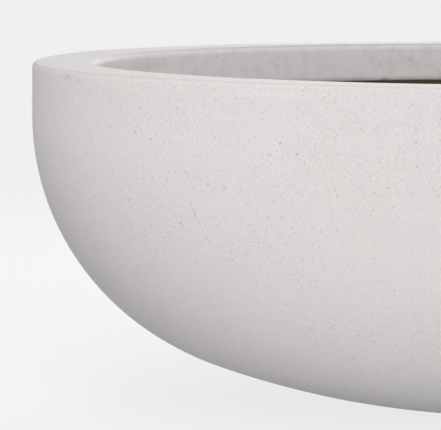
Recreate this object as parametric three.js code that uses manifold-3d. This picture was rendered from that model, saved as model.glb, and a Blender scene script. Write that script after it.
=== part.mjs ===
// A concrete bowl planter: a shallow round bowl of glass-fibre reinforced concrete with a wide flat rim.
// The wall is laid up in coats. A pale speckled facing is what shows outside, on the rim and down its
// lip. Behind it lie a glass-fibre scrim and a raw cement backing. Under the rim the backing thickens
// into a core, packed round a steel ring. A rubber plug closes the drain hole from inside, and four
// rubber pads carry the foot. The plug lifts out through the mouth.
//
// Millimetres, +Z up, origin on the floor under the centre of the bowl.

import * as THREE from 'three';
import { mergeVertices } from 'three/addons/utils/BufferGeometryUtils.js';
import Module from 'manifold-3d';

// ---- Sizes ---------------------------------------------------------------------------------------

// The bowl's outline
const outerDiameter = 610;
const overallHeight = 210;
const rimBandHeight = 33; // upright part of the wall, below the rim
const undersideFall = 15; // from the lowest point of the shoulder's circle down to the foot
const undersideCrown = 7; // degrees that the shoulder ends before a straight line to the foot would leave it
const footDiameter = 210; // where the underside would meet the floor's plane
const footEdgeRadius = 40;

// The rim and its lip
const rimOuterEdgeRadius = 3;
const rimInnerEdgeRadius = 5;
const lipWidth = 39;
const lipDepth = 26;
const lipLowerEdgeRadius = 4;

// The coats of the wall
const facingThickness = 6;
const scrimThickness = 1;
const backingThickness = 8;
const coatGap = 0.3; // between two pieces that lie against each other

// The core under the rim and the ring in it
const coreCoveRadius = 12;
const ringRodDiameter = 6;

// The drain
const drainHoleDiameter = 25;
const plugHeadDiameter = 38;
const plugHeadThickness = 3.5;
const plugHeadEdgeRadius = 1.2;
const plugStemTaper = 1.2; // how much thinner the stem is at its foot, on the radius
const plugWallThickness = 3.5;
const plugGripWidth = 20;
const plugGripHeight = 13;
const plugGripThickness = 5;
const plugGripHoleDiameter = 7;
const plugGripHoleRise = 6.5; // from the head to the middle of the hole

// The pads
const padDiameter = 30;
const padThickness = 3;
const padEdgeRadius = 0.8;
const padInset = 11; // from the edge of the flat foot to a pad
const padNames = ['front_left', 'front_right', 'back_right', 'back_left'];
const firstPadAngle = 225; // degrees from +X

// Fineness of the faceted surfaces
const bowlSides = 48;
const smallSides = 24;
const arcSag = 0.35; // furthest that an arc's flats lie from it
const samePoint = 0.01; // points nearer than this are one point

// ---- Colours and finishes ------------------------------------------------------------------------

const finishes = {
  facing: new THREE.MeshStandardMaterial({ color: '#dcd8d8', roughness: 0.85, metalness: 0 }),
  scrim: new THREE.MeshStandardMaterial({ color: '#e6e8e2', roughness: 0.6, metalness: 0 }),
  backing: new THREE.MeshStandardMaterial({ color: '#8a7c70', roughness: 0.95, metalness: 0 }),
  steel: new THREE.MeshStandardMaterial({ color: '#9a9da0', roughness: 0.5, metalness: 1 }),
  rubber: new THREE.MeshStandardMaterial({ color: '#2b2b2c', roughness: 0.8, metalness: 0 }),
};

// ---- Sections and solids -------------------------------------------------------------------------

// How many flats an arc needs.
function flatsFor(radius, turn) {
  const largestStep = 2 * Math.acos(Math.max(0, 1 - arcSag / radius));
  return Math.max(1, Math.ceil(Math.abs(THREE.MathUtils.degToRad(turn)) / largestStep));
}

// Points of an arc in the section plane, from one angle to another, in degrees from +R.
function arc(centre, radius, from, to, steps = flatsFor(radius, to - from)) {
  return Array.from({ length: steps + 1 }, (_, i) => {
    const angle = THREE.MathUtils.degToRad(from + ((to - from) * i) / steps);
    return new THREE.Vector2(centre.x + radius * Math.cos(angle), centre.y + radius * Math.sin(angle));
  });
}

// One outline from points and lists of points, without those that repeat the one before.
function outline(...parts) {
  return parts.flat().filter((point, i, all) => i === 0 || point.distanceTo(all[i - 1]) > samePoint);
}

// The same outline, closed on its first point.
function closed(points) {
  return [...points, points[0].clone()];
}

const at = (radius, height) => new THREE.Vector2(radius, height);

// A section turned about the vertical axis. It runs anticlockwise, with +R to the right and +Z up.
function turned(section, sides) {
  return new THREE.LatheGeometry(section, sides).rotateX(Math.PI / 2);
}

const wasm = await Module();
wasm.setup();

function solidOf(geometry) {
  const bare = geometry.clone();
  bare.deleteAttribute('normal');
  bare.deleteAttribute('uv');
  const welded = mergeVertices(bare, samePoint);
  const vertProperties = welded.attributes.position.array;
  const triVerts = new Uint32Array(welded.index.array);
  return new wasm.Manifold(new wasm.Mesh({ numProp: 3, vertProperties, triVerts }));
}

function geometryOf(solid) {
  const { vertProperties, triVerts } = solid.getMesh();
  const geometry = new THREE.BufferGeometry();
  geometry.setAttribute('position', new THREE.BufferAttribute(vertProperties, 3));
  geometry.setIndex(new THREE.BufferAttribute(triVerts, 1));
  geometry.computeVertexNormals();
  return geometry;
}

// ---- The bowl's outline --------------------------------------------------------------------------

const outerRadius = outerDiameter / 2;
const rimHeight = overallHeight;
const footHeight = padThickness + coatGap;
const bandFoot = rimHeight - rimBandHeight;

// The shoulder is an arc that starts upright under the band.
const shoulderRadius = bandFoot - footHeight - undersideFall;
const shoulderCentre = at(outerRadius - shoulderRadius, bandFoot);

// It ends a little before the straight line from it to the foot's edge would leave it.
const footCorner = at(footDiameter / 2, footHeight);
const toFoot = footCorner.clone().sub(shoulderCentre);
const straightTurn =
  THREE.MathUtils.radToDeg(toFoot.angle() - Math.PI * 2) +
  THREE.MathUtils.radToDeg(Math.acos(shoulderRadius / toFoot.length()));
const shoulderEndAngle = straightTurn + undersideCrown;

// The underside is the arc that carries on from the shoulder, without a kink, to the foot's corner.
const inward = at(-1, 0).rotateAround(at(0, 0), THREE.MathUtils.degToRad(shoulderEndAngle));
const shoulderEnd = shoulderCentre.clone().addScaledVector(inward, -shoulderRadius);
const chord = footCorner.clone().sub(shoulderEnd);
const undersideRadius = chord.lengthSq() / (2 * chord.dot(inward));
const undersideCentre = shoulderEnd.clone().addScaledVector(inward, undersideRadius);

// The foot's edge is rounded off between the underside and the flat foot.
const footEdgeRise = undersideCentre.y - footHeight - footEdgeRadius;
const footEdgeReach = Math.sqrt((undersideRadius - footEdgeRadius) ** 2 - footEdgeRise ** 2);
const footEdgeCentre = at(undersideCentre.x + footEdgeReach, footHeight + footEdgeRadius);
const footEdgeAngle = THREE.MathUtils.radToDeg(Math.atan2(-footEdgeRise, footEdgeReach));
const flatFootRadius = footEdgeCentre.x;

// The wall's line at some depth behind the outer surface, from the flat foot up to a height on the band.
// At every depth its points lie at the same angles, so that the coats nest.
function wallLine(depth, top) {
  const stretch = (centre, radius, from, to) =>
    arc(centre, radius - depth, from, to, flatsFor(radius, to - from));
  return outline(
    stretch(footEdgeCentre, footEdgeRadius, -90, footEdgeAngle),
    stretch(undersideCentre, undersideRadius, footEdgeAngle, shoulderEndAngle),
    stretch(shoulderCentre, shoulderRadius, shoulderEndAngle, 0),
    at(outerRadius - depth, top),
  );
}

// Depths of the coats behind the outer surface
const scrimFront = facingThickness + coatGap;
const scrimBack = scrimFront + scrimThickness;
const backingFront = scrimBack + coatGap;
const wallThickness = backingFront + backingThickness;
const coatTop = rimHeight - facingThickness - coatGap; // underside of the rim's facing, less the gap
const drainRadius = drainHoleDiameter / 2;
const floorHeight = footHeight + wallThickness;

// A coat from one depth to another, from the drain hole to just under the rim.
function coat(front, back) {
  return turned(
    closed(
      outline(
        at(drainRadius, footHeight + front),
        wallLine(front, coatTop),
        wallLine(back, coatTop).reverse(),
        at(drainRadius, footHeight + back),
      ),
    ),
    bowlSides,
  );
}

// ---- The pieces ----------------------------------------------------------------------------------

// The facing: the outer surface, the rim, and the lip inside it, one coat thick all the way.
function facing() {
  const lipRadius = outerRadius - lipWidth;
  const lipFoot = rimHeight - lipDepth;
  const underRim = rimHeight - facingThickness;
  const outerEdge = at(outerRadius - rimOuterEdgeRadius, rimHeight - rimOuterEdgeRadius);
  const innerEdge = at(lipRadius + rimInnerEdgeRadius, rimHeight - rimInnerEdgeRadius);
  const lowerEdge = at(lipRadius + lipLowerEdgeRadius, lipFoot + lipLowerEdgeRadius);
  const section = outline(
    at(drainRadius, footHeight),
    wallLine(0, outerEdge.y),
    arc(outerEdge, rimOuterEdgeRadius, 0, 90),
    arc(innerEdge, rimInnerEdgeRadius, 90, 180),
    arc(lowerEdge, lipLowerEdgeRadius, 180, 270),
    at(lipRadius + facingThickness, lipFoot),
    at(lipRadius + facingThickness, underRim),
    wallLine(facingThickness, underRim).reverse(),
    at(drainRadius, footHeight + facingThickness),
  );
  return turned(closed(section), bowlSides);
}

// The core: fills the lip and rounds off into the wall below it. The ring lies in a groove in its outer side.
const ringRadius = ringRodDiameter / 2;
const ringCentre = at(
  outerRadius - wallThickness - coatGap - ringRadius,
  (coatTop + rimHeight - lipDepth) / 2,
);

function rimCore() {
  const inner = outerRadius - lipWidth + facingThickness + coatGap;
  const soffit = rimHeight - lipDepth;
  const wall = outerRadius - wallThickness - coatGap;
  const coveCentre = at(wall - coreCoveRadius, soffit - coreCoveRadius);
  const raw = turned(
    closed(
      outline(
        at(inner, soffit),
        arc(coveCentre, coreCoveRadius, 90, 0),
        at(outerRadius, coveCentre.y),
        at(outerRadius, coatTop),
        at(inner, coatTop),
      ),
    ),
    bowlSides,
  );
  const insideWall = turned(
    outline(
      at(0, floorHeight + coatGap),
      wallLine(wallThickness + coatGap, rimHeight),
      at(0, rimHeight),
    ),
    bowlSides,
  );
  const grooveRadius = ringRadius + coatGap;
  const groove = turned(
    closed(
      outline(
        at(outerRadius, ringCentre.y - grooveRadius),
        at(outerRadius, ringCentre.y + grooveRadius),
        arc(ringCentre, grooveRadius, 90, 270),
      ),
    ),
    bowlSides,
  );
  return geometryOf(solidOf(raw).intersect(solidOf(insideWall)).subtract(solidOf(groove)));
}

// The ring: a steel rod bent round into a hoop and welded.
function rimRing() {
  return turned(arc(ringCentre, ringRadius, 0, 360), bowlSides);
}

// The plug: a moulded rubber stopper, hollow from below, with a grip on its head to lift it by.
function drainPlug() {
  const stemRadius = drainRadius - coatGap;
  const stemFootRadius = stemRadius - plugStemTaper;
  const headFoot = floorHeight + coatGap;
  const headTop = headFoot + plugHeadThickness;
  const hollowRadius = stemFootRadius - plugWallThickness;
  const hollowTop = headFoot - plugWallThickness;
  const headEdge = at(plugHeadDiameter / 2 - plugHeadEdgeRadius, headTop - plugHeadEdgeRadius);
  const body = turned(
    outline(
      at(0, hollowTop),
      at(hollowRadius, hollowTop),
      at(hollowRadius, footHeight),
      at(stemFootRadius, footHeight),
      at(stemRadius, headFoot),
      at(plugHeadDiameter / 2, headFoot),
      arc(headEdge, plugHeadEdgeRadius, 0, 90),
      at(0, headTop),
    ),
    smallSides,
  );

  // The grip's outline stands in the XZ plane: upright sides and a round top, with a hole for a finger or cord.
  const gripRadius = plugGripWidth / 2;
  const root = -plugHeadThickness / 2;
  const shape = new THREE.Shape();
  shape.moveTo(-gripRadius, root);
  shape.lineTo(gripRadius, root);
  shape.absarc(0, plugGripHeight - gripRadius, gripRadius, 0, Math.PI);
  const hole = new THREE.Path();
  hole.absarc(0, plugGripHoleRise, plugGripHoleDiameter / 2, 0, Math.PI * 2, true);
  shape.holes.push(hole);
  const grip = new THREE.ExtrudeGeometry(shape, {
    depth: plugGripThickness,
    bevelEnabled: false,
    curveSegments: 8,
  });
  grip.translate(0, 0, -plugGripThickness / 2).rotateX(Math.PI / 2).translate(0, 0, headTop);
  return geometryOf(solidOf(body).add(solidOf(grip)));
}

// A pad: a rubber disc with its rim rounded, standing at the origin.
function footPad() {
  const radius = padDiameter / 2;
  const lowerEdge = at(radius - padEdgeRadius, padEdgeRadius);
  return turned(
    outline(
      at(0, 0),
      arc(lowerEdge, padEdgeRadius, -90, 0),
      at(radius, padThickness),
      at(0, padThickness),
    ),
    smallSides,
  );
}

// ---- The object ----------------------------------------------------------------------------------

const planter = new THREE.Group();

function place(name, geometry, finish) {
  const mesh = new THREE.Mesh(geometry, finish);
  mesh.name = name;
  planter.add(mesh);
  return mesh;
}

place('facing_shell', facing(), finishes.facing);
place('glass_fibre_scrim', coat(scrimFront, scrimBack), finishes.scrim);
place('backing_shell', coat(backingFront, wallThickness), finishes.backing);
place('rim_core', rimCore(), finishes.backing);
place('rim_ring', rimRing(), finishes.steel);
place('drain_plug', drainPlug(), finishes.rubber);

const padCircleRadius = flatFootRadius - padInset - padDiameter / 2;
padNames.forEach((name, i) => {
  const angle = THREE.MathUtils.degToRad(firstPadAngle + (i * 360) / padNames.length);
  const pad = place(`foot_pad_${name}`, footPad(), finishes.rubber);
  pad.position.set(padCircleRadius * Math.cos(angle), padCircleRadius * Math.sin(angle), 0);
});

export default planter;
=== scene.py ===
import math

import bmesh
import bpy
from mathutils import Matrix, Vector, noise


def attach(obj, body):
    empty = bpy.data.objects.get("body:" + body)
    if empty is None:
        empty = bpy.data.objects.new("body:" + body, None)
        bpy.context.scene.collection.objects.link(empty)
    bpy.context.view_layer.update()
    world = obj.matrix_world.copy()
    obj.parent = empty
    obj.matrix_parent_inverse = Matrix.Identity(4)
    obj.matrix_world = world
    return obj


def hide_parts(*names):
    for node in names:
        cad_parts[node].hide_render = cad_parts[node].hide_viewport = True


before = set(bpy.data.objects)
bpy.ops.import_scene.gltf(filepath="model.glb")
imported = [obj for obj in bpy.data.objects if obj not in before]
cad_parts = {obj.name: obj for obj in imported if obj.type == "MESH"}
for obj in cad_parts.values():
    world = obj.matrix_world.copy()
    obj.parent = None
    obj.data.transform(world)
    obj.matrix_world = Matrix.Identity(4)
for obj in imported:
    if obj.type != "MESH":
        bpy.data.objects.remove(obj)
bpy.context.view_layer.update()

# A pale concrete bowl planter in a plain studio. Shapes are drawn in millimetres and made metres when
# they are finished. Every piece stands where its CAD node does, and replaces it.

mm = 0.001
fullTurn = 2 * math.pi
quarter = fullTurn / 4
hair = 0.01  # points nearer to each other than this are one


def linear(hexColour):
    values = [int(hexColour[i:i + 2], 16) / 255 for i in (1, 3, 5)]
    return [v / 12.92 if v <= 0.04045 else ((v + 0.055) / 1.055) ** 2.4 for v in values] + [1]


def addNode(tree, kind, links=None, **settings):
    # a node among the links stands for the first of its outputs that is in use
    node = tree.nodes.new("ShaderNode" + kind)
    for name, value in settings.items():
        setattr(node, name, value)
    for socket, value in (links or {}).items():
        target = node.inputs[socket]
        if isinstance(value, bpy.types.Node):
            value = next(output for output in value.outputs if output.enabled)
        if isinstance(value, bpy.types.NodeSocket):
            tree.links.new(value, target)
        else:
            target.default_value = value
    return node


def startMaterial(name):
    material = bpy.data.materials.new(name)
    material.use_nodes = True
    material.node_tree.nodes.clear()
    return material, material.node_tree


def finishMaterial(material, look):
    tree = material.node_tree
    shader = addNode(tree, "BsdfPrincipled", look)
    addNode(tree, "OutputMaterial", {"Surface": shader})
    return material


def remap(ends, low=0, high=1, unit=1):
    # what a Map Range node takes: the ends it reads between, and what it gives there
    return {"From Min": ends[0] * unit, "From Max": ends[1] * unit, "To Min": low, "To Max": high}


# settings that many nodes share, and the Mix node's sockets when it mixes colours
smooth = {"interpolation_type": "SMOOTHSTEP"}
mixColours = {"data_type": "RGBA"}
multiplyColours = {"data_type": "RGBA", "blend_type": "MULTIPLY"}
amountIn, underIn, overIn = 0, 6, 7


# Drawing sections and turning them: an outline is a chain of points in the XZ plane, drawn with a spin
# for each line and arc.

def startOutline(radius, height):
    shape = bmesh.new()
    shape.verts.layers.float.new("run")
    shape.verts.layers.float.new("seen")
    return shape, shape.verts.new((radius, 0, height))


def drawOn(shape, point, steps, **motion):
    swept = bmesh.ops.spin(shape, geom=[point], steps=steps, **motion)
    return next(item for item in swept["geom_last"] if isinstance(item, bmesh.types.BMVert))


def lineTo(shape, point, radius, height, step):
    away = Vector((radius, 0, height)) - point.co
    steps = max(1, round(away.length / step))
    return drawOn(shape, point, steps, cent=point.co, axis=(0, 1, 0), angle=0, dvec=away / steps)


def arcRound(shape, point, centre, turn, step):
    radius = math.hypot(point.co.x - centre[0], point.co.z - centre[1])
    steps = max(2, round(abs(turn) * radius / step))
    return drawOn(shape, point, steps, cent=(centre[0], 0, centre[1]), axis=(0, -1, 0), angle=turn)


def noteRun(shape, seenCount):
    # the length drawn so far, and whether the point is on the side that shows
    run, seen = shape.verts.layers.float["run"], shape.verts.layers.float["seen"]
    points = list(shape.verts)
    for i, point in enumerate(points):
        point[run] = points[i - 1][run] + (point.co - points[i - 1].co).length if i else 0
        point[seen] = 1 if i < seenCount else 0


def turnRound(shape, steps):
    bmesh.ops.spin(
        shape, geom=shape.verts[:] + shape.edges[:], cent=(0, 0, 0), axis=(0, 0, 1),
        angle=fullTurn, steps=steps, use_merge=True,
    )
    bmesh.ops.remove_doubles(shape, verts=shape.verts, dist=hair)
    bmesh.ops.recalc_face_normals(shape, faces=shape.faces)


def layMap(shape):
    # a map in metres: round the bowl from the front, and along the section
    run = shape.verts.layers.float["run"]
    sheet = shape.loops.layers.uv.new("surface")
    for face in shape.faces:
        middle = face.calc_center_median()
        middleTurn = math.atan2(middle.x, -middle.y)
        for loop in face.loops:
            x, y, _ = loop.vert.co
            turn = math.atan2(x, -y) if math.hypot(x, y) > hair else middleTurn
            turn += fullTurn * round((middleTurn - turn) / fullTurn)
            loop[sheet].uv = (turn * outerRadius * mm, loop.vert[run] * mm)


def makeUneven(shape, waves, strengthAt):
    # moves the points that show along their normals by smooth noise. A wave has a length round the bowl,
    # a length along the section, how far it goes in and how far out.
    run, seen = shape.verts.layers.float["run"], shape.verts.layers.float["seen"]
    fullReach = 1.3  # the noise seldom passes three quarters, so this spreads it from -1 to 1
    shape.normal_update()
    for point in shape.verts:
        strength = point[seen] * strengthAt(point.co)
        if strength > 0:
            shift = 0
            for wave in waves:
                around = wave["around"]
                place = Vector((point.co.x / around, point.co.y / around, point[run] / wave["along"]))
                level = max(-1, min(1, fullReach * noise.noise(place + Vector((wave["seed"], 0, 0)))))
                shift += wave["out"] * max(0, level) + wave["inward"] * min(0, level) - wave["sink"]
            point.co += point.normal * shift * strength


def softStep(value, low, high):
    t = max(0, min(1, (value - low) / (high - low)))
    return t * t * (3 - 2 * t)


def finishPiece(name, shape, material, body, nodes, creaseDegrees=32):
    bmesh.ops.scale(shape, vec=(mm, mm, mm), verts=shape.verts)
    for edge in shape.edges:
        edge.smooth = edge.calc_face_angle(0) < math.radians(creaseDegrees)
    for face in shape.faces:
        face.smooth = True
    mesh = bpy.data.meshes.new(name)
    shape.to_mesh(mesh)
    shape.free()
    mesh.materials.append(material)
    piece = bpy.data.objects.new(name, mesh)
    bpy.context.scene.collection.objects.link(piece)
    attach(piece, body)
    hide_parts(*nodes)
    print(name, "made,", len(mesh.polygons), "faces")


# the bowl's outline, with the part's own sizes
bowl = {
    "outerDiameter": 610,
    "overallHeight": 210,
    "rimBandHeight": 33,
    "undersideFall": 15,
    "undersideCrown": 7,  # degrees
    "footDiameter": 210,
    "footEdgeRadius": 40,
    "rimOuterEdgeRadius": 3,
    "rimInnerEdgeRadius": 5,
    "lipWidth": 39,
    "lipDepth": 26,
    "lipLowerEdgeRadius": 4,
    "facingThickness": 6,
    "scrimThickness": 1,
    "backingThickness": 8,
    "coatGap": 0.3,
    "drainHoleDiameter": 25,
    "padThickness": 3,
}

outerRadius = bowl["outerDiameter"] / 2
rimHeight = bowl["overallHeight"]
footHeight = bowl["padThickness"] + bowl["coatGap"]
bandFoot = rimHeight - bowl["rimBandHeight"]
drainRadius = bowl["drainHoleDiameter"] / 2
scrimFront = bowl["facingThickness"] + bowl["coatGap"]
scrimBack = scrimFront + bowl["scrimThickness"]
backingFront = scrimBack + bowl["coatGap"]
wallThickness = backingFront + bowl["backingThickness"]
coatTop = rimHeight - bowl["facingThickness"] - bowl["coatGap"]
floorHeight = footHeight + wallThickness
lipRadius = outerRadius - bowl["lipWidth"]
soffit = rimHeight - bowl["lipDepth"]


def wallArcs():
    # the three arcs of the wall: round the foot's edge, up the underside and round the shoulder
    shoulderRadius = bandFoot - footHeight - bowl["undersideFall"]
    shoulderCentre = Vector((outerRadius - shoulderRadius, bandFoot))
    footCorner = Vector((bowl["footDiameter"] / 2, footHeight))
    toFoot = footCorner - shoulderCentre
    straightTurn = math.atan2(toFoot.y, toFoot.x) + math.acos(shoulderRadius / toFoot.length)
    shoulderEnd = straightTurn + math.radians(bowl["undersideCrown"])
    inward = Vector((-math.cos(shoulderEnd), -math.sin(shoulderEnd)))
    meeting = shoulderCentre - inward * shoulderRadius
    chord = footCorner - meeting
    undersideRadius = chord.length_squared / (2 * chord.dot(inward))
    undersideCentre = meeting + inward * undersideRadius
    edgeRadius = bowl["footEdgeRadius"]
    rise = undersideCentre.y - footHeight - edgeRadius
    reach = math.sqrt((undersideRadius - edgeRadius) ** 2 - rise ** 2)
    return {
        "foot": (undersideCentre.x + reach, footHeight + edgeRadius),
        "underside": tuple(undersideCentre),
        "shoulder": tuple(shoulderCentre),
        "footEnd": math.atan2(-rise, reach),
        "shoulderEnd": shoulderEnd,
    }


arcs = wallArcs()
flatFootRadius = arcs["foot"][0]


def wallUp(shape, point, depth, top, step):
    point = lineTo(shape, point, flatFootRadius, footHeight + depth, step)
    point = arcRound(shape, point, arcs["foot"], arcs["footEnd"] + quarter, step)
    point = arcRound(shape, point, arcs["underside"], arcs["shoulderEnd"] - arcs["footEnd"], step)
    point = arcRound(shape, point, arcs["shoulder"], -arcs["shoulderEnd"], step)
    return lineTo(shape, point, outerRadius - depth, top, step)


def wallDown(shape, point, depth, innerRadius, step):
    point = lineTo(shape, point, outerRadius - depth, bandFoot, step)
    point = arcRound(shape, point, arcs["shoulder"], arcs["shoulderEnd"], step)
    point = arcRound(shape, point, arcs["underside"], arcs["footEnd"] - arcs["shoulderEnd"], step)
    point = arcRound(shape, point, arcs["foot"], -arcs["footEnd"] - quarter, step)
    return lineTo(shape, point, innerRadius, footHeight + depth, step)


def addSpecks(tree, place, colour, grains, crowd, flat=False):
    # round grains cut by the surface: each has its own size and tint, and crowd says how many show
    cells = addNode(tree, "TexVoronoi", {
        "Vector": place, "Scale": 1 if flat else 1 / (grains["cell"] * mm),
    }, voronoi_dimensions="2D" if flat else "3D")
    lot = addNode(tree, "SeparateColor", {"Color": cells.outputs["Color"]})
    largest = grains["radius"] / grains["cell"]
    smallest = largest * 0.45
    size = addNode(tree, "MapRange", {
        "Value": lot.outputs["Green"], "To Min": smallest, "To Max": largest,
    })
    nearness = addNode(tree, "Math", {0: cells, 1: size}, operation="DIVIDE")
    softEdge = (1.2, 0.6)  # in shares of the grain's radius
    inside = addNode(tree, "MapRange", {
        "Value": nearness, **remap(softEdge, high=grains["strength"]),
    }, **smooth)
    chosen = addNode(tree, "Math", {0: lot.outputs["Red"], 1: crowd}, operation="LESS_THAN")
    shown = addNode(tree, "Math", {0: inside, 1: chosen}, operation="MULTIPLY")
    tint = addNode(tree, "ValToRGB", {"Fac": lot.outputs["Blue"]})
    tint.color_ramp.interpolation = "CONSTANT"
    steps = tint.color_ramp.elements
    while len(steps) < len(grains["tints"]):
        steps.new(0.5)
    for i, hexColour in enumerate(grains["tints"]):
        steps[i].position = i / len(grains["tints"])
        steps[i].color = linear(hexColour)
    mixed = addNode(tree, "Mix", {amountIn: shown, underIn: colour, overIn: tint}, **mixColours)
    return mixed, shown


def addMark(tree, place, colour, mark):
    # a soft mark on an upright surface from one point to another, such as a stain, a scratch or one grain
    tint, strength, width, core, start, end = mark
    start, end = Vector(start) * mm, Vector(end) * mm
    middle = (start + end) / 2
    along = (end - start).normalized()
    across = Vector((middle.x, middle.y, 0)).cross(along).normalized()
    turn = Matrix((along, across, along.cross(across))).transposed().to_euler()
    size = ((end - start).length / 2, width * mm / 2, facing["markDepth"] * mm)
    local = addNode(tree, "Mapping", {
        "Vector": place, "Location": middle, "Rotation": turn, "Scale": size,
    }, vector_type="TEXTURE")
    away = addNode(tree, "VectorMath", {0: local}, operation="LENGTH")
    amount = addNode(tree, "MapRange", {"Value": away, **remap((1, core), high=strength)}, **smooth)
    return addNode(tree, "Mix", {
        amountIn: amount, underIn: colour, overIn: linear(tint),
    }, **mixColours)


facing = {
    "paste": "#dcd8d8",
    "warmPaste": "#dbd6d2",
    "coolPaste": "#d5d4d7",
    "rubbedRim": "#d0cdcb",
    # painted light: the lip gets a paler paste than the wall, to brighten it inside the bowl
    "paintedLightLip": "#edeaeb",
    "lipStain": "#b9aba0",
    "roughness": 0.82,
    "roughnessSpread": 0.08,
    "diffuseRoughness": 1.0,
    "specular": 0.4,
    # where the rubbed rim begins, going up, and the lip, going in and going up
    "rimFrom": (207.8, 209.5),
    "lipFrom": (272.5, 269.5),
    "lipFoot": (175, 180),
    "clouds": {"size": 60, "ends": (0.4, 0.72), "amount": 0.32},
    "mottles": {"size": 9, "ends": (0.4, 0.72), "amount": 0.3},
    "stains": {"size": 8, "ends": (0.44, 0.72), "amount": 0.14},
    # grains lie in patches, and thinly between them. The rubbed share of them is left on the lip, and
    # the rim is rubbed this far towards it.
    "patches": {"size": 50, "ends": (0.35, 0.65), "thin": 0.35},
    "rubbedShare": 0.06,
    "rimRubbed": 0.75,
    "wander": {"size": 1.1, "reach": 0.8},
    "grit": {"size": 1.5, "ends": (0.2, 0.8), "contrast": 0.065, "strength": 0.6, "depth": 0.06},
    "strokes": {"long": 2.6, "wide": 0.7, "turn": -48, "heights": (190, 100), "share": (0.2, 0.7)},
    "markDepth": 4,
    "grains": [
        {"cell": 1.7, "radius": 0.54, "strength": 0.23, "share": 1.0,
         "tints": ["#a88474", "#8f8c94", "#ae8c80", "#85879a", "#9d9488"]},
        {"cell": 2.3, "radius": 0.66, "strength": 0.26, "share": 1.0,
         "tints": ["#93705f", "#838088", "#a97c66", "#717690", "#94877a"]},
        {"cell": 5.5, "radius": 0.8, "strength": 0.3, "share": 0.75,
         "tints": ["#7d5a4e", "#6d6b75", "#96654c", "#827a7d"]},
        {"cell": 14, "radius": 1.0, "strength": 0.36, "share": 0.5,
         "tints": ["#6e5850", "#5f6270", "#7a6a64"]},
        {"cell": 3.0, "radius": 0.5, "strength": 0.5, "share": 0.6,
         "tints": ["#f1efee", "#eceef0", "#f3ede4"]},
    ],
    # tint, strength, width, how much of it is at full strength, from, to
    "marks": [
        # hairline scratches
        ("#8f8c8c", 0.55, 0.9, 0.0, (-189.6, -237.8, 162.4), (-183.4, -241.2, 152.9)),
        ("#8f8c8c", 0.60, 0.9, 0.0, (-186.4, -236.6, 143.2), (-178.0, -237.5, 127.8)),
        ("#8f8c8c", 0.50, 1.0, 0.0, (-199.9, -228.0, 154.8), (-196.4, -229.9, 150.2)),
        ("#969394", 0.40, 0.9, 0.0, (-215.4, -215.8, 181.6), (-213.0, -218.0, 175.2)),
        # grey smudges where the bowl was handled
        ("#bab7b9", 0.40, 6.0, 0.0, (-270.5, -140.5, 206.0), (-260.0, -158.6, 205.6)),
        ("#bcb9ba", 0.35, 4.0, 0.0, (-259.9, -159.3, 205.0), (-254.6, -167.0, 204.2)),
        # warm patches, and a paler band along the wall just under the rim
        ("#e2dcca", 0.22, 12.0, 0.0, (-240.0, -188.0, 203.0), (-213.0, -218.0, 202.4)),
        ("#e4dfc6", 0.22, 10.0, 0.0, (-193.9, -235.2, 203.0), (-182.0, -244.6, 202.0)),
        ("#e4e0c4", 0.26, 7.0, 0.0, (-171.8, -251.9, 202.4), (-165.6, -256.0, 201.6)),
        ("#efecec", 0.60, 7.0, 0.0, (-168.0, -254.5, 203.6), (-98.0, -288.8, 203.6)),
        # stains on the far side of the lip, a darker patch on its left side, and a chip in its lower edge
        # painted dark brown as painted shade, as dark as the shaded raw cement under the lip
        ("#8f8a8c", 0.35, 4.0, 0.0, (-208.2, 166.8, 203.9), (-206.0, 169.6, 203.6)),
        # a broad darker brownish patch on the left of the lip
        ("#b9aca0", 0.25, 10.0, 0.0, (-256.0, 74.0, 201.0), (-232.0, 130.0, 200.0)),
        ("#a8a8aa", 0.28, 5.0, 0.0, (-80.6, 253.8, 198.4), (-76.8, 255.0, 198.4)),
        ("#a8a8aa", 0.25, 5.0, 0.0, (-102.0, 245.9, 195.8), (-98.2, 247.5, 195.8)),
        # painted shade: the chip is as dark as the shaded raw cement under the lip, darker than that
        # cement itself
        ("#6b5a4e", 0.60, 4.6, 0.1, (-101.0, 246.0, 184.8), (-91.6, 249.8, 184.8)),
        # single larger grains
        ("#7a5a4e", 0.55, 1.9, 0.2, (-208.6, -222.2, 175.4), (-207.6, -223.1, 175.4)),
        ("#55607c", 0.50, 1.7, 0.2, (-205.5, -225.1, 177.8), (-204.6, -225.9, 177.8)),
        ("#4f5060", 0.55, 1.9, 0.2, (-193.9, -233.6, 157.9), (-193.0, -234.4, 157.9)),
        ("#5b5a60", 0.25, 3.0, 0.1, (-165.2, -253.6, 152.4), (-163.0, -255.0, 149.8)),
        ("#6b5040", 0.50, 2.0, 0.2, (-138.6, -271.4, 171.2), (-137.5, -271.9, 170.6)),
        ("#5f4d48", 0.52, 2.3, 0.2, (-132.5, -274.5, 177.8), (-131.2, -275.2, 177.0)),
        ("#4c4344", 0.52, 2.2, 0.2, (-122.9, -278.9, 172.2), (-121.6, -279.5, 171.6)),
        ("#8a5a38", 0.55, 1.7, 0.2, (-118.3, -280.7, 168.0), (-117.3, -281.1, 167.5)),
    ],
}


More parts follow.
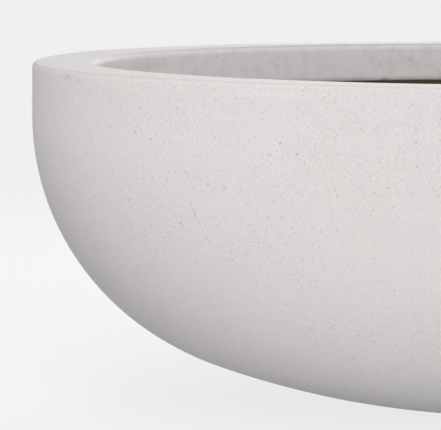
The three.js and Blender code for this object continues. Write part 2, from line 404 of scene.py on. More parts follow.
def facingMaterial():
    # White cement facing, sprayed against a mould and lightly sanded: matt, with sand grains showing as
    # fine red-brown, grey and pale specks, thicker in some places, and faint warm and cool clouds.
    # The rim was rubbed flat, so it is a more neutral grey with few grains. The lip inside is painted
    # paler than the wall, as painted light for the dimmer light inside the bowl, with soft brown stains.
    material, tree = startMaterial("whiteCementSprayedFacing")
    coords = addNode(tree, "TexCoord")
    place, sheet = coords.outputs["Object"], coords.outputs["UV"]
    parts = addNode(tree, "SeparateXYZ", {"Vector": place})
    flatPlace = addNode(tree, "CombineXYZ", {"X": parts.outputs["X"], "Y": parts.outputs["Y"]})
    radius = addNode(tree, "VectorMath", {0: flatPlace}, operation="LENGTH")
    height = parts.outputs["Z"]
    rim = addNode(tree, "MapRange", {"Value": height, **remap(facing["rimFrom"], unit=mm)}, **smooth)
    inward = addNode(tree, "MapRange", {"Value": radius, **remap(facing["lipFrom"], unit=mm)}, **smooth)
    high = addNode(tree, "MapRange", {"Value": height, **remap(facing["lipFoot"], unit=mm)})
    lip = addNode(tree, "Math", {0: inward, 1: high}, operation="MULTIPLY")

    # faint clouds of warm paste, and mottles of cool paste
    clouds = addNode(tree, "TexNoise", {
        "Vector": place, "Scale": 1 / (facing["clouds"]["size"] * mm), "Detail": 3.0, "Roughness": 0.6,
    })
    mottles = addNode(tree, "TexNoise", {
        "Vector": place, "Scale": 1 / (facing["mottles"]["size"] * mm), "Detail": 5.0,
    })
    colour = linear(facing["paste"])
    for pattern, name, hexColour in (
        (clouds, "clouds", facing["warmPaste"]), (mottles, "mottles", facing["coolPaste"])
    ):
        share = addNode(tree, "MapRange", {
            "Value": pattern, **remap(facing[name]["ends"], high=facing[name]["amount"]),
        }, **smooth)
        colour = addNode(tree, "Mix", {
            amountIn: share, underIn: colour, overIn: linear(hexColour),
        }, **mixColours)

    # the rubbed rim, and the lip painted paler than the wall as painted light, for the dimmer light
    # inside the bowl
    for zone, hexColour in ((lip, facing["paintedLightLip"]), (rim, facing["rubbedRim"])):
        colour = addNode(tree, "Mix", {
            amountIn: zone, underIn: colour, overIn: linear(hexColour),
        }, **mixColours)

    # the lip has soft brown stains, where it was never sanded
    blots = facing["stains"]
    stains = addNode(tree, "TexNoise", {
        "Vector": place, "Scale": 1 / (blots["size"] * mm), "Detail": 2.0,
    })
    stained = addNode(tree, "MapRange", {
        "Value": stains, **remap(blots["ends"], high=blots["amount"]),
    }, **smooth)
    onLip = addNode(tree, "Math", {0: stained, 1: lip}, operation="MULTIPLY")
    colour = addNode(tree, "Mix", {
        amountIn: onLip, underIn: colour, overIn: linear(facing["lipStain"]),
    }, **mixColours)
    for mark in facing["marks"]:
        colour = addMark(tree, place, colour, mark)

    # the grains aren't round: their outlines wander by a quarter of a millimetre
    wander = addNode(tree, "TexNoise", {
        "Vector": place, "Scale": 1 / (facing["wander"]["size"] * mm), "Detail": 1.0,
    })
    centred = addNode(tree, "VectorMath", {
        0: wander.outputs["Color"], 1: (0.5, 0.5, 0.5),
    }, operation="SUBTRACT")
    shift = addNode(tree, "VectorMath", {
        0: centred, "Scale": facing["wander"]["reach"] * mm,
    }, operation="SCALE")
    bent = addNode(tree, "VectorMath", {0: place, 1: shift}, operation="ADD")

    # how thickly the grains lie: in patches on the wall, and thinly on the lip and rim
    patchy = facing["patches"]
    patches = addNode(tree, "TexNoise", {
        "Vector": place, "Scale": 1 / (patchy["size"] * mm), "Detail": 2.0,
    })
    rubbed = addNode(tree, "Math", {0: rim, 1: facing["rimRubbed"], 2: lip}, operation="MULTIPLY_ADD")
    plain = addNode(tree, "MapRange", {"Value": rubbed, "To Min": 1, "To Max": facing["rubbedShare"]})
    for grains in facing["grains"]:
        share = grains["share"]
        thick = addNode(tree, "MapRange", {
            "Value": patches, **remap(patchy["ends"], share * patchy["thin"], share),
        }, **smooth)
        crowd = addNode(tree, "Math", {0: thick, 1: plain}, operation="MULTIPLY")
        colour, _ = addSpecks(tree, bent, colour, grains, crowd)

    # the sanded paste's own grain, drawn coarser than its sand so that it shows, and on the lower wall
    # the slanting strokes of the sanding
    gritty, strokes = facing["grit"], facing["strokes"]
    grit = addNode(tree, "TexNoise", {
        "Vector": place, "Scale": 1 / (gritty["size"] * mm), "Detail": 1.5,
    })
    slanted = addNode(tree, "Mapping", {
        "Vector": sheet, "Rotation": (0, 0, math.radians(strokes["turn"])),
        "Scale": (strokes["long"] * mm, strokes["wide"] * mm, 1),
    }, vector_type="TEXTURE")
    stroke = addNode(tree, "TexNoise", {"Vector": slanted, "Scale": 1, "Detail": 1.0})
    lowWall = addNode(tree, "MapRange", {
        "Value": height, **remap(strokes["heights"], *strokes["share"], unit=mm),
    }, **smooth)
    grain = addNode(tree, "Mix", {0: lowWall, 2: grit, 3: stroke}, data_type="FLOAT")
    contrast = gritty["contrast"]
    soft = addNode(tree, "MapRange", {
        "Value": grain, **remap(gritty["ends"], 1 - contrast, 1 + contrast),
    })
    grainy = addNode(tree, "Mix", {amountIn: 1.0, underIn: colour, overIn: soft}, **multiplyColours)
    roughness, spread = facing["roughness"], facing["roughnessSpread"]
    rough = addNode(tree, "MapRange", {
        "Value": clouds, "To Min": roughness - spread, "To Max": roughness + spread,
    })
    relief = addNode(tree, "Bump", {
        "Height": grit, "Strength": gritty["strength"], "Distance": gritty["depth"] * mm,
    })
    return finishMaterial(material, {
        "Base Color": grainy, "Roughness": rough,
        "Diffuse Roughness": facing["diffuseRoughness"], "Specular IOR Level": facing["specular"],
        "Normal": relief,
    })


backing = {
    "dry": "#9c8e81",
    "damp": "#857869",
    "skim": "#b4a798",
    "fibre": "#c9c2b4",
    "roughness": 0.92,
    "diffuseRoughness": 0.8,
    "specular": 0.3,
    "clouds": {"size": 55, "ends": (0.35, 0.75)},
    "passes": {"long": 90, "wide": 9, "ends": (0.5, 0.75), "amount": 0.6},
    "fibres": {"long": 16, "apart": 3.2, "thick": 0.35, "turns": [12, 58, 101, 149],
               "strength": 0.5, "share": 0.5},
    "grit": {"size": 1.5, "contrast": 0.18, "strength": 0.6, "depth": 0.3},
    "lumps": {"size": 6, "strength": 0.8, "depth": 0.8, "overlay": 0.35},
}


def backingMaterial():
    # Grey-brown fibre cement, rolled and trowelled by hand: dull and rough, with paler skim where the
    # trowel passed, darker damp clouds, and pale ends of glass strands lying every way.
    material, tree = startMaterial("trowelledFibreCement")
    coords = addNode(tree, "TexCoord")
    place, sheet = coords.outputs["Object"], coords.outputs["UV"]
    clouds = addNode(tree, "TexNoise", {
        "Vector": place, "Scale": 1 / (backing["clouds"]["size"] * mm), "Detail": 5.0,
        "Roughness": 0.62,
    })
    dampness = addNode(tree, "MapRange", {
        "Value": clouds, **remap(backing["clouds"]["ends"]),
    }, **smooth)
    colour = addNode(tree, "Mix", {
        amountIn: dampness, underIn: linear(backing["dry"]), overIn: linear(backing["damp"]),
    }, **mixColours)

    # the trowel's passes run round the bowl
    passes = backing["passes"]
    along = addNode(tree, "Mapping", {
        "Vector": sheet, "Scale": (1 / (passes["long"] * mm), 1 / (passes["wide"] * mm), 1),
    })
    swept = addNode(tree, "TexNoise", {"Vector": along, "Scale": 1, "Detail": 4.0})
    skim = addNode(tree, "MapRange", {
        "Value": swept, **remap(passes["ends"], high=passes["amount"]),
    }, **smooth)
    colour = addNode(tree, "Mix", {
        amountIn: skim, underIn: colour, overIn: linear(backing["skim"]),
    }, **mixColours)

    fibres = backing["fibres"]
    strand = {
        "cell": fibres["apart"], "radius": fibres["thick"], "strength": fibres["strength"],
        "tints": [backing["fibre"]],
    }
    heights = [swept]
    for turn in fibres["turns"]:
        laid = addNode(tree, "Mapping", {
            "Vector": sheet, "Rotation": (0, 0, math.radians(turn)),
            "Scale": (fibres["long"] * mm, fibres["apart"] * mm, 1),
        }, vector_type="TEXTURE")
        colour, shown = addSpecks(tree, laid, colour, strand, fibres["share"], flat=True)
        heights.append(shown)

    gritty, lumps = backing["grit"], backing["lumps"]
    grit = addNode(tree, "TexNoise", {
        "Vector": place, "Scale": 1 / (gritty["size"] * mm), "Detail": 4.0, "Roughness": 0.65,
    })
    contrast = gritty["contrast"]
    soft = addNode(tree, "MapRange", {"Value": grit, "To Min": 1 - contrast, "To Max": 1 + contrast})
    grainy = addNode(tree, "Mix", {amountIn: 1.0, underIn: colour, overIn: soft}, **multiplyColours)
    coarse = addNode(tree, "TexNoise", {
        "Vector": place, "Scale": 1 / (lumps["size"] * mm), "Detail": 5.0, "Roughness": 0.6,
    })
    level = coarse
    for height in heights:
        level = addNode(tree, "Math", {
            0: height, 1: lumps["overlay"], 2: level,
        }, operation="MULTIPLY_ADD")
    relief = addNode(tree, "Bump", {
        "Height": level, "Strength": lumps["strength"], "Distance": lumps["depth"] * mm,
    })
    fine = addNode(tree, "Bump", {
        "Height": grit, "Strength": gritty["strength"], "Distance": gritty["depth"] * mm,
        "Normal": relief,
    })
    return finishMaterial(material, {
        "Base Color": grainy, "Roughness": backing["roughness"],
        "Diffuse Roughness": backing["diffuseRoughness"], "Specular IOR Level": backing["specular"],
        "Normal": fine,
    })


scrim = {
    "sides": 192,
    "step": 8,
    "strand": "#e6e8e2",
    "slurry": "#b3aca0",
    "strandPitch": 5,
    "strandShare": 0.3,
    "waver": 0.4,
    "roughness": 0.6,
    "depth": 0.5,
}


def scrimMaterial():
    # Alkali-resistant glass cloth, woven as an open net and soaked in slurry: pale strands that cross
    # every 5 mm, with cement between them.
    material, tree = startMaterial("wovenGlassScrim")
    sheet = addNode(tree, "TexCoord").outputs["UV"]
    strands = []
    waveLength = fullTurn / 20  # of the Wave texture at a scale of 1
    for direction in ("X", "Y"):
        wave = addNode(tree, "TexWave", {
            "Vector": sheet, "Scale": waveLength / (scrim["strandPitch"] * mm),
            "Distortion": scrim["waver"],
        }, bands_direction=direction)
        strands.append(wave.outputs["Fac"])
    upper = addNode(tree, "Math", {0: strands[0], 1: strands[1]}, operation="MAXIMUM")
    onStrand = addNode(tree, "MapRange", {
        "Value": upper, **remap((1 - scrim["strandShare"], 1)),
    }, **smooth)
    colour = addNode(tree, "Mix", {
        amountIn: onStrand, underIn: linear(scrim["slurry"]), overIn: linear(scrim["strand"]),
    }, **mixColours)
    relief = addNode(tree, "Bump", {"Height": onStrand, "Distance": scrim["depth"] * mm})
    return finishMaterial(material, {
        "Base Color": colour, "Roughness": scrim["roughness"], "Normal": relief,
    })


steel = {
    "bright": "#b4b7b9", "dull": "#8d9193", "spangle": 7, "roughness": 0.5, "roughnessSpread": 0.12,
}


def steelMaterial():
    # Mild steel rod, bent cold and hot-dip galvanised: grey zinc with crystal flakes about 7 mm across,
    # each a little brighter or duller than the next.
    material, tree = startMaterial("galvanisedSteelRod")
    place = addNode(tree, "TexCoord").outputs["Object"]
    flakes = addNode(tree, "TexVoronoi", {"Vector": place, "Scale": 1 / (steel["spangle"] * mm)})
    lot = addNode(tree, "SeparateColor", {"Color": flakes.outputs["Color"]})
    colour = addNode(tree, "Mix", {
        amountIn: lot.outputs["Red"], underIn: linear(steel["dull"]), overIn: linear(steel["bright"]),
    }, **mixColours)
    roughness, spread = steel["roughness"], steel["roughnessSpread"]
    rough = addNode(tree, "MapRange", {
        "Value": lot.outputs["Green"], "To Min": roughness - spread, "To Max": roughness + spread,
    })
    return finishMaterial(material, {"Base Color": colour, "Metallic": 1.0, "Roughness": rough})


rubber = {
    "plug": "#2c2c2d",
    "plugRoughness": 0.6,
    "pad": "#242425",
    "padRoughness": 0.75,
    "roughnessSpread": 0.1,
    "bloom": "#414142",
    "bloomSize": 6,
    "bloomEnds": (0.45, 0.8),
    "bloomAmount": 0.6,
    "grain": 0.4,
    "grainStrength": 0.5,
    "grainDepth": 0.05,
    "specular": 0.45,
}


def rubberMaterial(name, hexColour, roughness):
    # EPDM rubber, compression moulded: nearly black, with a faint grey bloom and a fine satin grain
    material, tree = startMaterial(name)
    place = addNode(tree, "TexCoord").outputs["Object"]
    bloom = addNode(tree, "TexNoise", {
        "Vector": place, "Scale": 1 / (rubber["bloomSize"] * mm), "Detail": 5.0, "Roughness": 0.6,
    })
    amount = addNode(tree, "MapRange", {
        "Value": bloom, **remap(rubber["bloomEnds"], high=rubber["bloomAmount"]),
    }, **smooth)
    colour = addNode(tree, "Mix", {
        amountIn: amount, underIn: linear(hexColour), overIn: linear(rubber["bloom"]),
    }, **mixColours)
    spread = rubber["roughnessSpread"]
    rough = addNode(tree, "MapRange", {
        "Value": bloom, "To Min": roughness - spread, "To Max": roughness + spread,
    })
    grain = addNode(tree, "TexNoise", {
        "Vector": place, "Scale": 1 / (rubber["grain"] * mm), "Detail": 2.0,
    })
    relief = addNode(tree, "Bump", {
        "Height": grain, "Strength": rubber["grainStrength"], "Distance": rubber["grainDepth"] * mm,
    })
    return finishMaterial(material, {
        "Base Color": colour, "Roughness": rough,
        "Specular IOR Level": rubber["specular"], "Normal": relief,
    })


facingConcrete = facingMaterial()
rawCement = backingMaterial()
glassScrim = scrimMaterial()
zincSteel = steelMaterial()
plugRubber = rubberMaterial("mouldedRubberPlug", rubber["plug"], rubber["plugRoughness"])
padRubber = rubberMaterial("mouldedRubberPads", rubber["pad"], rubber["padRoughness"])
print("materials made")


# the coats of the wall
facingShape = {
    "sides": 288,
    "step": 4,
    "hiddenStep": 14,
    "drainEdgeRadius": 0.8,
    "edgeStep": 0.7,
    "footZone": 12,  # height over which the unevenness begins above the foot
    # hand-laid and sanded: the surface lies up to half a millimetre inside its true line
    "waves": [
        {"around": 120, "along": 120, "seed": 3, "inward": 0.16, "out": 0.16, "sink": 0.17},
        {"around": 42, "along": 30, "seed": 17, "inward": 0.05, "out": 0.05, "sink": 0.055},
    ],
}


def facingCoat():
    size = facingShape
    edge = size["drainEdgeRadius"]
    outer, inner, lower = (
        bowl["rimOuterEdgeRadius"], bowl["rimInnerEdgeRadius"], bowl["lipLowerEdgeRadius"],
    )
    shape, point = startOutline(drainRadius, footHeight + edge)
    point = arcRound(shape, point, (drainRadius + edge, footHeight + edge), quarter, size["edgeStep"])
    point = wallUp(shape, point, 0, rimHeight - outer, size["step"])
    point = arcRound(shape, point, (outerRadius - outer, rimHeight - outer), quarter, size["edgeStep"])
    point = lineTo(shape, point, lipRadius + inner, rimHeight, size["step"])
    point = arcRound(shape, point, (lipRadius + inner, rimHeight - inner), quarter, size["edgeStep"])
    point = lineTo(shape, point, lipRadius, soffit + lower, size["step"])
    point = arcRound(shape, point, (lipRadius + lower, soffit + lower), quarter, size["edgeStep"])
    point = lineTo(shape, point, lipRadius + bowl["facingThickness"], soffit, size["step"])
    seenCount = len(shape.verts)
    underRim = rimHeight - bowl["facingThickness"]
    point = lineTo(shape, point, lipRadius + bowl["facingThickness"], underRim, size["hiddenStep"])
    point = lineTo(shape, point, outerRadius - bowl["facingThickness"], underRim, size["hiddenStep"])
    point = wallDown(shape, point, bowl["facingThickness"], drainRadius, size["hiddenStep"])
    lineTo(shape, point, drainRadius, footHeight + edge, size["hiddenStep"])
    noteRun(shape, seenCount)
    turnRound(shape, size["sides"])
    layMap(shape)
    footZone = footHeight + size["footZone"]
    makeUneven(shape, size["waves"], lambda co: softStep(co.z, footHeight, footZone))
    finishPiece("facingCoat", shape, facingConcrete, "planter", ["facing_shell"])


def scrimCloth():
    step = scrim["step"]
    shape, point = startOutline(drainRadius, footHeight + scrimFront)
    point = wallUp(shape, point, scrimFront, coatTop, step)
    point = lineTo(shape, point, outerRadius - scrimBack, coatTop, step)
    point = wallDown(shape, point, scrimBack, drainRadius, step)
    lineTo(shape, point, drainRadius, footHeight + scrimFront, step)
    noteRun(shape, 0)
    turnRound(shape, scrim["sides"])
    layMap(shape)
    finishPiece("scrimCloth", shape, glassScrim, "planter", ["glass_fibre_scrim"])


backingShape = {
    "sides": 320,
    "step": 3.2,
    "hiddenStep": 14,
    "drainEdgeRadius": 1,
    "edgeStep": 0.5,
    "plugZone": (22, 50),  # radii
    "coreZone": (24, 10),  # depths below the lip
    # rolled and trowelled from inside
    "waves": [
        {"around": 110, "along": 46, "seed": 5, "inward": 0.5, "out": 0.6, "sink": 0},
        {"around": 60, "along": 9, "seed": 11, "inward": 0.25, "out": 0.35, "sink": 0},
        {"around": 9, "along": 8, "seed": 23, "inward": 0.12, "out": 0.25, "sink": 0},
    ],
}


def backingStrength(place):
    # flat under the plug's head and where the rim's core lies against the wall
    fromPlug = softStep(math.hypot(place.x, place.y), *backingShape["plugZone"])
    underCore = 1 - softStep(place.z, *(soffit - depth for depth in backingShape["coreZone"]))
    return fromPlug * underCore


def backingCoat():
    size = backingShape
    edge = size["drainEdgeRadius"]
    shape, point = startOutline(outerRadius - wallThickness, coatTop)
    point = wallDown(shape, point, wallThickness, drainRadius + edge, size["step"])
    point = arcRound(shape, point, (drainRadius + edge, floorHeight - edge), quarter, size["edgeStep"])
    seenCount = len(shape.verts)
    point = lineTo(shape, point, drainRadius, footHeight + backingFront, size["hiddenStep"])
    point = wallUp(shape, point, backingFront, coatTop, size["hiddenStep"])
    lineTo(shape, point, outerRadius - wallThickness, coatTop, size["hiddenStep"])
    noteRun(shape, seenCount)
    turnRound(shape, size["sides"])
    layMap(shape)
    makeUneven(shape, size["waves"], backingStrength)
    finishPiece("backingCoat", shape, rawCement, "planter", ["backing_shell"])


facingCoat()
scrimCloth()
backingCoat()


# the core under the rim and the ring in it
core = {
    "sides": 320,
    "coveRadius": 12,
    "coveStopsShort": 3,  # degrees, so that its feather edge doesn't cut the wall
    "step": 1.5,
    "hiddenStep": 8,
    "grooveStep": 1,
    "innerFade": 4,  # widths over which the unevenness dies out
    "outerFade": 3,
    "waves": [
        {"around": 70, "along": 14, "seed": 31, "inward": 0.3, "out": 0.25, "sink": 0},
        {"around": 10, "along": 6, "seed": 37, "inward": 0.12, "out": 0.15, "sink": 0},
    ],
}
ring = {
    "sides": 320, "rodDiameter": 6, "rodSides": 20,
    "weldAngle": 60, "weldLength": 5, "weldRise": 0.2, "rippleSize": 1.2, "ripple": 0.2,
}

ringRadius = ring["rodDiameter"] / 2
ringCentre = (outerRadius - wallThickness - bowl["coatGap"] - ringRadius, (coatTop + soffit) / 2)


def rimCore():
    gap, cove = bowl["coatGap"], core["coveRadius"]
    inner = lipRadius + bowl["facingThickness"] + gap
    wall = outerRadius - wallThickness - gap
    coveCentre = (wall - cove, soffit - cove)
    shape, point = startOutline(inner, soffit)
    point = lineTo(shape, point, coveCentre[0], soffit, core["step"])
    coveTurn = math.radians(core["coveStopsShort"]) - quarter
    point = arcRound(shape, point, coveCentre, coveTurn, core["step"])
    seenCount = len(shape.verts)
    side = point.co.x
    grooveRadius = ringRadius + gap
    reach = side - ringCentre[0]
    halfMouth = math.acos(reach / grooveRadius)
    grooveFoot = ringCentre[1] - grooveRadius * math.sin(halfMouth)
    point = lineTo(shape, point, side, grooveFoot, core["hiddenStep"])
    point = arcRound(shape, point, ringCentre, 2 * halfMouth - fullTurn, core["grooveStep"])
    point = lineTo(shape, point, side, coatTop, core["hiddenStep"])
    point = lineTo(shape, point, inner, coatTop, core["hiddenStep"])
    lineTo(shape, point, inner, soffit, core["hiddenStep"])
    noteRun(shape, seenCount)
    turnRound(shape, core["sides"])
    layMap(shape)

    def strengthAt(place):
        radius = math.hypot(place.x, place.y)
        fromLip = softStep(radius, inner, inner + core["innerFade"])
        return fromLip * (1 - softStep(radius, side - core["outerFade"], side))

    makeUneven(shape, core["waves"], strengthAt)
    finishPiece("rimCore", shape, rawCement, "planter", ["rim_core"])


def rimRing():
    shape = bmesh.new()
    upright = Matrix.Translation((ringCentre[0], 0, ringCentre[1])) @ Matrix.Rotation(quarter, 4, "X")
    bmesh.ops.create_circle(shape, segments=ring["rodSides"], radius=ringRadius, matrix=upright)
    turnRound(shape, ring["sides"])
    shape.normal_update()
    # the butt weld that closes the hoop, ground down but for a low swelling
    weldAngle = math.radians(ring["weldAngle"])
    weld = Vector((math.cos(weldAngle), math.sin(weldAngle), 0)) * ringCentre[0]
    for point in shape.verts:
        away = math.hypot(point.co.x - weld.x, point.co.y - weld.y) / ring["weldLength"]
        ripple = 1 + ring["ripple"] * (noise.noise(point.co / ring["rippleSize"]) - 1)
        point.co += point.normal * ring["weldRise"] * ripple * math.exp(-away * away)
    finishPiece("rimRing", shape, zincSteel, "planter", ["rim_ring"])


rimCore()
rimRing()


# the drain plug and the pads
plug = {
    "sides": 96,
    "step": 0.9,
    "slopeStep": 0.4,
    "edgeStep": 0.2,
    "headStep": 0.25,
    "beadStep": 0.15,
    "hollowStep": 0.3,
    "headDiameter": 38,
    "headThickness": 3.5,
    "headEdgeRadius": 1.2,
    "headLowerEdgeRadius": 0.7,
    "beadWidth": 2.4,  # raised rim of the head
    "beadInnerRadius": 0.5,
    "beadTurn": 54,  # degrees of that edge, before the slope
    "beadFoot": 1.6,  # width of the slope inside the bead
    "fieldDepth": 0.7,  # how far the head's middle lies below the bead
    "stemTaper": 1.2,
    "wallThickness": 3.5,
    "footEdgeRadius": 0.6,
    "hollowEdgeRadius": 1,
    "gripWidth": 20,
    "gripStep": 0.8,
    "gripSink": 1,  # how far it starts below the head's middle
    "gripHeight": 13,
    "gripThickness": 5,
    "gripEdgeRadius": 1.4,
    "gripHoleDiameter": 7,
    "gripHoleRise": 6.5,
    "gripEdgeAngle": 60,  # edges sharper than this are rounded
    "gripFlare": 2.2,  # how much thicker the grip is where it grows out of the head
    "flareHeight": 3.2,
}


def plugBody(headFoot, headTop):
    step, fine = plug["step"], plug["edgeStep"]
    small, soft = plug["footEdgeRadius"], plug["hollowEdgeRadius"]
    stem = drainRadius - bowl["coatGap"]
    stemFoot = stem - plug["stemTaper"]
    hollow = stemFoot - plug["wallThickness"]
    hollowTop = headFoot - plug["wallThickness"]
    edge, lowerEdge = plug["headEdgeRadius"], plug["headLowerEdgeRadius"]
    headRadius = plug["headDiameter"] / 2
    field = headTop - plug["fieldDepth"]
    shape, point = startOutline(0, hollowTop)
    point = lineTo(shape, point, hollow - soft, hollowTop, step)
    point = arcRound(shape, point, (hollow - soft, hollowTop - soft), -quarter, plug["hollowStep"])
    point = lineTo(shape, point, hollow, footHeight + small, step)
    point = arcRound(shape, point, (hollow + small, footHeight + small), quarter, fine)
    point = lineTo(shape, point, stemFoot - small, footHeight, step)
    point = arcRound(shape, point, (stemFoot - small, footHeight + small), quarter, fine)
    point = lineTo(shape, point, stem, headFoot - small, step)
    point = arcRound(shape, point, (stem + small, headFoot - small), -quarter, fine)
    point = lineTo(shape, point, headRadius - lowerEdge, headFoot, step)
    point = arcRound(shape, point, (headRadius - lowerEdge, headFoot + lowerEdge), quarter, fine)
    point = lineTo(shape, point, headRadius, headTop - edge, step)
    point = arcRound(shape, point, (headRadius - edge, headTop - edge), quarter, plug["headStep"])
    beadInner, fall = headRadius - plug["beadWidth"], plug["beadInnerRadius"]
    point = lineTo(shape, point, beadInner, headTop, plug["slopeStep"])
    beadTurn = math.radians(plug["beadTurn"])
    point = arcRound(shape, point, (beadInner, headTop - fall), beadTurn, plug["beadStep"])
    point = lineTo(shape, point, beadInner - plug["beadFoot"], field, plug["slopeStep"])
    lineTo(shape, point, 0, field, step)
    noteRun(shape, 0)
    turnRound(shape, plug["sides"])
    return shape, field


def plugGrip(field, headTop):
    half = plug["gripWidth"] / 2
    archCentre = headTop + plug["gripHeight"] - half
    foot, step = field - plug["gripSink"], plug["gripStep"]
    shape, point = startOutline(half, foot)
    point = lineTo(shape, point, half, archCentre, step)
    point = arcRound(shape, point, (0, archCentre), 2 * quarter, step)
    point = lineTo(shape, point, -half, foot, step)
    lineTo(shape, point, half, foot, step)
    bmesh.ops.remove_doubles(shape, verts=shape.verts, dist=hair)
    around = len(shape.verts)
    upright = Matrix.Translation((0, 0, headTop + plug["gripHoleRise"]))
    upright @= Matrix.Rotation(quarter, 4, "X")
    bmesh.ops.create_circle(shape, segments=around, radius=plug["gripHoleDiameter"] / 2, matrix=upright)
    bmesh.ops.bridge_loops(shape, edges=shape.edges)
    bmesh.ops.translate(shape, vec=(0, -plug["gripThickness"] / 2, 0), verts=shape.verts)
    pulled = bmesh.ops.extrude_face_region(shape, geom=shape.faces)
    moved = [item for item in pulled["geom"] if isinstance(item, bmesh.types.BMVert)]
    bmesh.ops.translate(shape, vec=(0, plug["gripThickness"], 0), verts=moved)
    bmesh.ops.recalc_face_normals(shape, faces=shape.faces)
    sharp = math.radians(plug["gripEdgeAngle"])
    rims = [edge for edge in shape.edges if edge.calc_face_angle(0) > sharp]
    bmesh.ops.bevel(
        shape, geom=rims, offset=plug["gripEdgeRadius"], segments=4, profile=0.5,
        affect="EDGES", material=-1, clamp_overlap=True,
    )
    for vert in shape.verts:
        flare = 1 - softStep(vert.co.z, field, field + plug["flareHeight"])
        vert.co.y *= 1 + flare * plug["gripFlare"] / plug["gripThickness"]
    return shape


def shapeObject(name, shape):
    mesh = bpy.data.meshes.new(name)
    shape.to_mesh(mesh)
    shape.free()
    thing = bpy.data.objects.new(name, mesh)
    bpy.context.scene.collection.objects.link(thing)
    return thing


def drainPlug():
    headFoot = floorHeight + bowl["coatGap"]
    headTop = headFoot + plug["headThickness"]
    body, field = plugBody(headFoot, headTop)
    bodyThing = shapeObject("plugBody", body)
    gripThing = shapeObject("plugGrip", plugGrip(field, headTop))
    join = bodyThing.modifiers.new("join", "BOOLEAN")
    join.operation = "UNION"
    join.solver = "EXACT"
    join.object = gripThing
    whole = bodyThing.evaluated_get(bpy.context.evaluated_depsgraph_get())
    shape = bmesh.new()
    shape.from_mesh(whole.to_mesh())
    whole.to_mesh_clear()
    for thing in (bodyThing, gripThing):
        bpy.data.objects.remove(thing)
    finishPiece(
        "drainPlug", shape, plugRubber, "drain_plug", ["drain_plug"], creaseDegrees=42
    )


pad = {
    "sides": 64,
    "diameter": 30,
    "edgeRadius": 0.8,
    "inset": 11,
    "glueGap": 0.05,  # the rest of the coat gap is the pad's own adhesive
    "grooveDepth": 0.5,
    "grooves": [(0, 4), (8, 10)],  # inner and outer radius of each recess in the tread
    "treadStep": 1,
    "slopeStep": 0.4,
    "edgeStep": 0.2,
    "sideStep": 0.8,
    "topStep": 1.5,
    "names": ["front_left", "front_right", "back_right", "back_left"],
    "firstAngle": 225,
}


def footPad(name, angle):
    radius, edge, deep = pad["diameter"] / 2, pad["edgeRadius"], pad["grooveDepth"]
    step, slopeStep = pad["treadStep"], pad["slopeStep"]
    shape, point = startOutline(0, deep)
    for inner, outer in pad["grooves"]:
        if inner:
            point = lineTo(shape, point, inner, 0, step)
            point = lineTo(shape, point, inner + deep, deep, slopeStep)
        point = lineTo(shape, point, outer, deep, step)
        point = lineTo(shape, point, outer + deep, 0, slopeStep)
    point = lineTo(shape, point, radius - edge, 0, step)
    point = arcRound(shape, point, (radius - edge, edge), quarter, pad["edgeStep"])
    top = footHeight - pad["glueGap"]
    point = lineTo(shape, point, radius, top, pad["sideStep"])
    lineTo(shape, point, 0, top, pad["topStep"])
    noteRun(shape, 0)
    turnRound(shape, pad["sides"])
    reach = flatFootRadius - pad["inset"] - radius
    place = Vector((reach * math.cos(angle), reach * math.sin(angle), 0))
    bmesh.ops.translate(shape, vec=place, verts=shape.verts)
    sideName = "".join(word.capitalize() for word in name.split("_"))
    finishPiece("footPad" + sideName, shape, padRubber, "planter", ["foot_pad_" + name])


drainPlug()
for i, padName in enumerate(pad["names"]):
    footPad(padName, math.radians(pad["firstAngle"]) + i * quarter)


# the studio
camera = {
    # millimetres and radians
    "distance": 2100,  # in front of the bowl's axis
    "aboveRim": 98.48,
    "focalLength": 3374.49,  # in pixels of the photograph
    "imageWidth": 441,
    "sensorWidth": 36,
    "nearClip": 10,
    "turnLeft": 0.0897453,
    "tiltDown": 0.0928327,
    "roll": 0.0027285,
}


def placeCamera():
    data = bpy.data.cameras.new("camera")
    data.sensor_fit = "HORIZONTAL"
    data.sensor_width = camera["sensorWidth"]
    data.lens = camera["focalLength"] / camera["imageWidth"] * camera["sensorWidth"]
    data.clip_start = camera["nearClip"] * mm
    thing = bpy.data.objects.new("camera", data)
    bpy.context.scene.collection.objects.link(thing)
    yaw, tilt, roll = camera["turnLeft"], camera["tiltDown"], camera["roll"]
    turn = Matrix.Rotation(yaw, 4, "Z") @ Matrix.Rotation(quarter - tilt, 4, "X")
    turn @= Matrix.Rotation(roll, 4, "Z")
    place = Vector((0, -camera["distance"], rimHeight + camera["aboveRim"])) * mm
    thing.matrix_world = Matrix.Translation(place) @ turn
    bpy.context.scene.camera = thing


studio = {
    # metres, and watts for the lamps
    "background": "#f0f0f0",
    "floorReach": 6,
    "floorSides": 96,
    "floorAlbedo": 0.35,
    "floorSeen": 0.17,  # how much of the light and shadow the camera sees on the floor
    "floorLight": 0.5,  # how much light falls on the open floor beside the bowl
    "nearFloor": 0.55,  # from here out to the next the floor fades to the plain colour
    "farFloor": 1.6,
    "fill": 0.22,
    "aimHeight": 0.12,
    # bearings run round the bowl from the front, and heights up from the middle of its wall, in degrees
    "lamps": [
        {"name": "frontSoftbox", "bearing": 10, "height": 10, "distance": 3.0, "size": 1.6, "power": 30},
        {"name": "upperSoftbox", "bearing": -4, "height": 38, "distance": 3.0, "size": 1.6, "power": 20},
        {"name": "lowReflector", "bearing": -14, "height": -6, "distance": 1, "size": 0.25, "power": 2.8},
        {"name": "sideSoftbox", "bearing": 60, "height": 35, "distance": 1.9, "size": 0.9, "power": 2.6},
        {"name": "leftSoftbox", "bearing": -75, "height": 72, "distance": 1.9, "size": 0.9, "power": 6.5},
        {"name": "backSoftbox", "bearing": 178, "height": 14, "distance": 1.9, "size": 1.0, "power": 22},
    ],
}


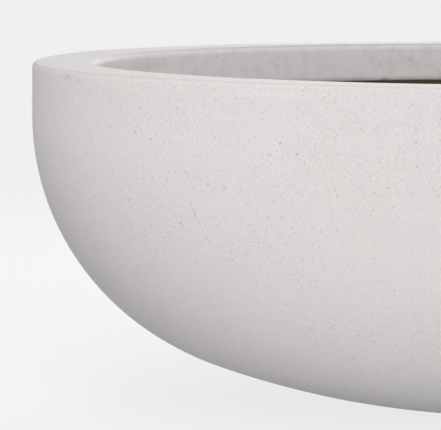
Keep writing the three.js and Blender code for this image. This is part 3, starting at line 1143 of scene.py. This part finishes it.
def softLamp(lamp):
    data = bpy.data.lights.new(lamp["name"], "AREA")
    data.shape = "DISK"
    data.size = lamp["size"]
    data.energy = lamp["power"]
    thing = bpy.data.objects.new(lamp["name"], data)
    thing.visible_camera = False
    bpy.context.scene.collection.objects.link(thing)
    bearing, height = math.radians(lamp["bearing"]), math.radians(lamp["height"])
    target = Vector((0, 0, studio["aimHeight"]))
    away = Vector((
        math.sin(bearing) * math.cos(height), -math.cos(bearing) * math.cos(height), math.sin(height),
    ))
    place = target + away * lamp["distance"]
    thing.matrix_world = Matrix.Translation(place) @ away.to_track_quat("Z", "Y").to_matrix().to_4x4()


def seenRays(tree):
    # camera, mirror and glass rays see the pale background; the light on the object stays plain
    path = addNode(tree, "LightPath")
    first = addNode(tree, "Math", {
        0: path.outputs["Is Camera Ray"], 1: path.outputs["Is Glossy Ray"],
    }, operation="MAXIMUM")
    glass = path.outputs["Is Transmission Ray"]
    return addNode(tree, "Math", {0: first, 1: glass}, operation="MAXIMUM")


def studioWorld():
    world = bpy.data.worlds.new("studio")
    bpy.context.scene.world = world
    world.use_nodes = True
    tree = world.node_tree
    tree.nodes.clear()
    light = addNode(tree, "Background", {"Color": (1, 1, 1, 1), "Strength": studio["fill"]})
    pale = addNode(tree, "Background", {"Color": linear(studio["background"]), "Strength": 1})
    chosen = addNode(tree, "MixShader", {0: seenRays(tree), 1: light, 2: pale})
    addNode(tree, "OutputWorld", {"Surface": chosen})


def studioFloor():
    # a pale table: near the bowl it takes the shadow, and far off it is the background's plain colour
    shape = bmesh.new()
    sides, reach = studio["floorSides"], studio["floorReach"]
    bmesh.ops.create_circle(shape, cap_ends=True, segments=sides, radius=reach)
    mesh = bpy.data.meshes.new("floor")
    shape.to_mesh(mesh)
    shape.free()
    floor = bpy.data.objects.new("floor", mesh)
    bpy.context.scene.collection.objects.link(floor)
    material, tree = startMaterial("paleFloor")
    place = addNode(tree, "TexCoord").outputs["Object"]
    away = addNode(tree, "VectorMath", {0: place}, operation="LENGTH")
    openFloor = (studio["nearFloor"], studio["farFloor"])
    far = addNode(tree, "MapRange", {"Value": away, **remap(openFloor)}, **smooth)
    albedo = studio["floorAlbedo"]
    matt = addNode(tree, "BsdfDiffuse", {"Color": (albedo, albedo, albedo, 1)})
    background = linear(studio["background"])
    seenPart = studio["floorSeen"]
    faint = addNode(tree, "BsdfDiffuse", {"Color": [v * seenPart for v in background[:3]] + [1]})
    glowing = 1 - seenPart * studio["floorLight"]
    glow = addNode(tree, "Emission", {"Color": background, "Strength": glowing})
    plain = addNode(tree, "Emission", {"Color": background, "Strength": 1})
    near = addNode(tree, "AddShader", {0: faint, 1: glow})
    seen = addNode(tree, "MixShader", {0: far, 1: near, 2: plain})
    chosen = addNode(tree, "MixShader", {0: seenRays(tree), 1: matt, 2: seen})
    addNode(tree, "OutputMaterial", {"Surface": chosen})
    mesh.materials.append(material)


placeCamera()
for lamp in studio["lamps"]:
    softLamp(lamp)
studioWorld()
studioFloor()
bpy.context.scene.view_settings.view_transform = "Standard"
print("studio made")
